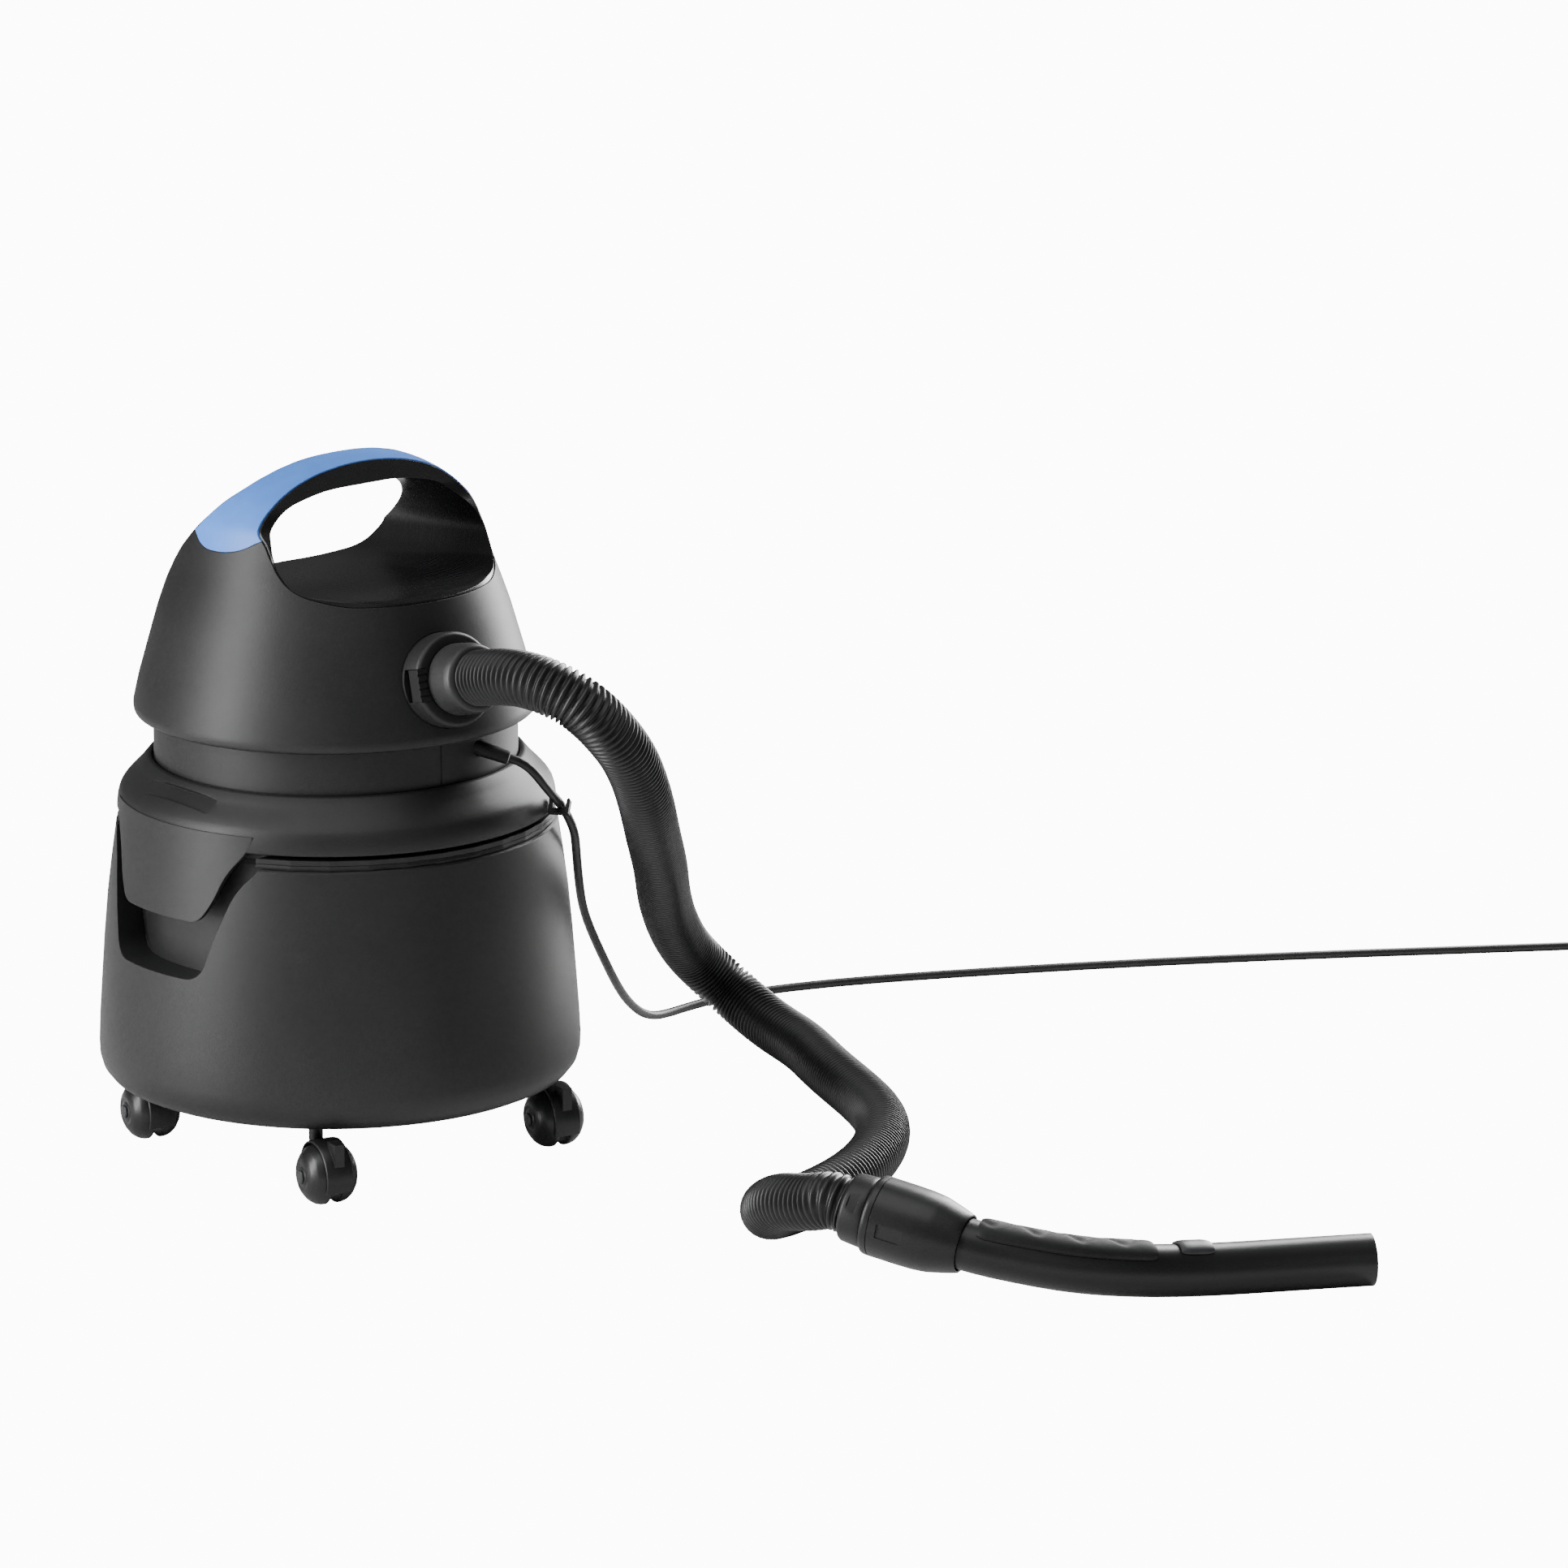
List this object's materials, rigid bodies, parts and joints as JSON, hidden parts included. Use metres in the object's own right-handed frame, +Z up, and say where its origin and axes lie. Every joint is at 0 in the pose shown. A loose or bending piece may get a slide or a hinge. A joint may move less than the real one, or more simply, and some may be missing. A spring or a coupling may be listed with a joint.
{
  "type": "drum vacuum blower",
  "caption": "Drum-shaped wet and dry vacuum on castors used as an inflator: arched handle, ribbed hose, curved wand and mains lead.",
  "frame": {"origin": "on the floor, under the axis of the drum", "axes": "+Z up along the drum's axis; the hose socket faces -Y; the carrying handle spans along X; hose, wand and lead run out towards +X and -Y"},
  "size_m": [1.3243, 0.9081, 0.4982],
  "materials": {
    "tank": "fine grain",
    "head_housing": "fine grain",
    "handle_well": "smooth gloss",
    "handle_cover": "satin",
    "neck_band": "fine grain",
    "locking_collar": "fine grain",
    "rim_seal": "matt",
    "head_base": "matt",
    "fan_case": "pressed sheet",
    "motor_can": "zinc plated",
    "filter_sleeve": "foam",
    "float_cage": "matt",
    "hose_socket": "fine grain",
    "hose_cuff": "satin",
    "suction_inlet": "fine grain",
    "switch_bezel": "satin",
    "cord_gland": "matt",
    "cord_hook": "satin",
    "head_screw_1": "zinc plated",
    "head_screw_2": "zinc plated",
    "head_screw_3": "zinc plated",
    "head_screw_4": "zinc plated",
    "hose": "ribbed",
    "wand_cuff": "satin",
    "wand_connector": "satin",
    "wand_tube": "satin",
    "grip_pad": "soft",
    "mains_lead": "satin",
    "lead_coil": "satin",
    "coil_tie": "matt",
    "plug_body": "satin",
    "plug_pin_1": "bright",
    "plug_pin_2": "bright",
    "castor_front_hood": "satin",
    "castor_front_wheel_outer": "satin",
    "castor_front_wheel_inner": "satin",
    "castor_front_axle": "satin",
    "castor_right_hood": "satin",
    "castor_right_wheel_outer": "satin",
    "castor_right_wheel_inner": "satin",
    "castor_right_axle": "satin",
    "castor_back_hood": "satin",
    "castor_back_wheel_outer": "satin",
    "castor_back_wheel_inner": "satin",
    "castor_back_axle": "satin",
    "castor_left_hood": "satin",
    "castor_left_wheel_outer": "satin",
    "castor_left_wheel_inner": "satin",
    "castor_left_axle": "satin",
    "motor_shaft": "ground",
    "armature": "wound copper",
    "impeller": "cast",
    "cooling_fan": "matt",
    "float_ball": "matt",
    "socket_button": "satin",
    "switch_rocker": "satin",
    "latch_left": "satin",
    "latch_right": "satin",
    "air_slider": "satin"
  },
  "bodies": {
    "blower": {"tank": "tank", "head_housing": "head_housing", "handle_well": "handle_well", "handle_cover": "handle_cover", "neck_band": "neck_band", "locking_collar": "locking_collar", "rim_seal": "rim_seal", "head_base": "head_base", "fan_case": "fan_case", "motor_can": "motor_can", "filter_sleeve": "filter_sleeve", "float_cage": "float_cage", "hose_socket": "hose_socket", "hose_cuff": "hose_cuff", "suction_inlet": "suction_inlet", "switch_bezel": "switch_bezel", "cord_gland": "cord_gland", "cord_hook": "cord_hook", "head_screw_1": "head_screw_1", "head_screw_2": "head_screw_2", "head_screw_3": "head_screw_3", "head_screw_4": "head_screw_4", "hose": "hose", "wand_cuff": "wand_cuff", "wand_connector": "wand_connector", "wand_tube": "wand_tube", "grip_pad": "grip_pad", "mains_lead": "mains_lead", "lead_coil": "lead_coil", "coil_tie": "coil_tie", "plug_body": "plug_body", "plug_pin_1": "plug_pin_1", "plug_pin_2": "plug_pin_2"},
    "castor_front": {"castor_front_hood": "castor_front_hood"},
    "castor_front_wheels": {"castor_front_wheel_outer": "castor_front_wheel_outer", "castor_front_wheel_inner": "castor_front_wheel_inner", "castor_front_axle": "castor_front_axle"},
    "castor_right": {"castor_right_hood": "castor_right_hood"},
    "castor_right_wheels": {"castor_right_wheel_outer": "castor_right_wheel_outer", "castor_right_wheel_inner": "castor_right_wheel_inner", "castor_right_axle": "castor_right_axle"},
    "castor_back": {"castor_back_hood": "castor_back_hood"},
    "castor_back_wheels": {"castor_back_wheel_outer": "castor_back_wheel_outer", "castor_back_wheel_inner": "castor_back_wheel_inner", "castor_back_axle": "castor_back_axle"},
    "castor_left": {"castor_left_hood": "castor_left_hood"},
    "castor_left_wheels": {"castor_left_wheel_outer": "castor_left_wheel_outer", "castor_left_wheel_inner": "castor_left_wheel_inner", "castor_left_axle": "castor_left_axle"},
    "rotor": {"motor_shaft": "motor_shaft", "armature": "armature", "impeller": "impeller", "cooling_fan": "cooling_fan"},
    "float": {"float_ball": "float_ball"},
    "socket_button": {"socket_button": "socket_button"},
    "switch_rocker": {"switch_rocker": "switch_rocker"},
    "latch_left": {"latch_left": "latch_left"},
    "latch_right": {"latch_right": "latch_right"},
    "air_slider": {"air_slider": "air_slider"}
  },
  "joints": [
    {"name": "castor_front_swivel", "type": "hinge", "parent": "blower", "child": "castor_front", "pos_m": [-0.10182, -0.10182, 0.055], "axis": [0, 0, 1], "continuous": true},
    {"name": "castor_front_roll", "type": "hinge", "parent": "castor_front", "child": "castor_front_wheels", "pos_m": [-0.10579, -0.11835, 0.0215], "axis": [0.9724, -0.2334, 0], "continuous": true},
    {"name": "castor_right_swivel", "type": "hinge", "parent": "blower", "child": "castor_right", "pos_m": [0.10182, -0.10182, 0.055], "axis": [0, 0, 1], "continuous": true},
    {"name": "castor_right_roll", "type": "hinge", "parent": "castor_right", "child": "castor_right_wheels", "pos_m": [0.09785, -0.11835, 0.0215], "axis": [0.9724, -0.2334, 0], "continuous": true},
    {"name": "castor_back_swivel", "type": "hinge", "parent": "blower", "child": "castor_back", "pos_m": [0.10182, 0.10182, 0.055], "axis": [0, 0, 1], "continuous": true},
    {"name": "castor_back_roll", "type": "hinge", "parent": "castor_back", "child": "castor_back_wheels", "pos_m": [0.09785, 0.08529, 0.0215], "axis": [0.9724, -0.2334, 0], "continuous": true},
    {"name": "castor_left_swivel", "type": "hinge", "parent": "blower", "child": "castor_left", "pos_m": [-0.10182, 0.10182, 0.055], "axis": [0, 0, 1], "continuous": true},
    {"name": "castor_left_roll", "type": "hinge", "parent": "castor_left", "child": "castor_left_wheels", "pos_m": [-0.10579, 0.08529, 0.0215], "axis": [0.9724, -0.2334, 0], "continuous": true},
    {"name": "rotor_spin", "type": "hinge", "parent": "blower", "child": "rotor", "pos_m": [0, 0, 0.262], "axis": [0, 0, 1], "continuous": true},
    {"name": "float_lift", "type": "slide", "parent": "blower", "child": "float", "axis": [0, 0, 1], "range_m": [0, 0.037]},
    {"name": "socket_button_press", "type": "slide", "parent": "blower", "child": "socket_button", "axis": [0.051, 0.973, -0.225], "range_m": [0, 0.003], "stiffness_N_per_m": 400},
    {"name": "switch_rock", "type": "hinge", "parent": "blower", "child": "switch_rocker", "pos_m": [0.1325, 0, 0.36], "axis": [0, 1, 0], "range_deg": [-8, 8]},
    {"name": "latch_left_swing", "type": "hinge", "parent": "blower", "child": "latch_left", "pos_m": [-0.1458, 0, 0.238], "axis": [0, 1, 0], "range_deg": [-4.5, 0]},
    {"name": "latch_right_swing", "type": "hinge", "parent": "blower", "child": "latch_right", "pos_m": [0.1458, 0, 0.238], "axis": [0, -1, 0], "range_deg": [-4.5, 0]},
    {"name": "air_slide", "type": "slide", "parent": "blower", "child": "air_slider", "axis": [0.9151, -0.3991, -0.0585], "range_m": [0, 0.01]}
  ]
}
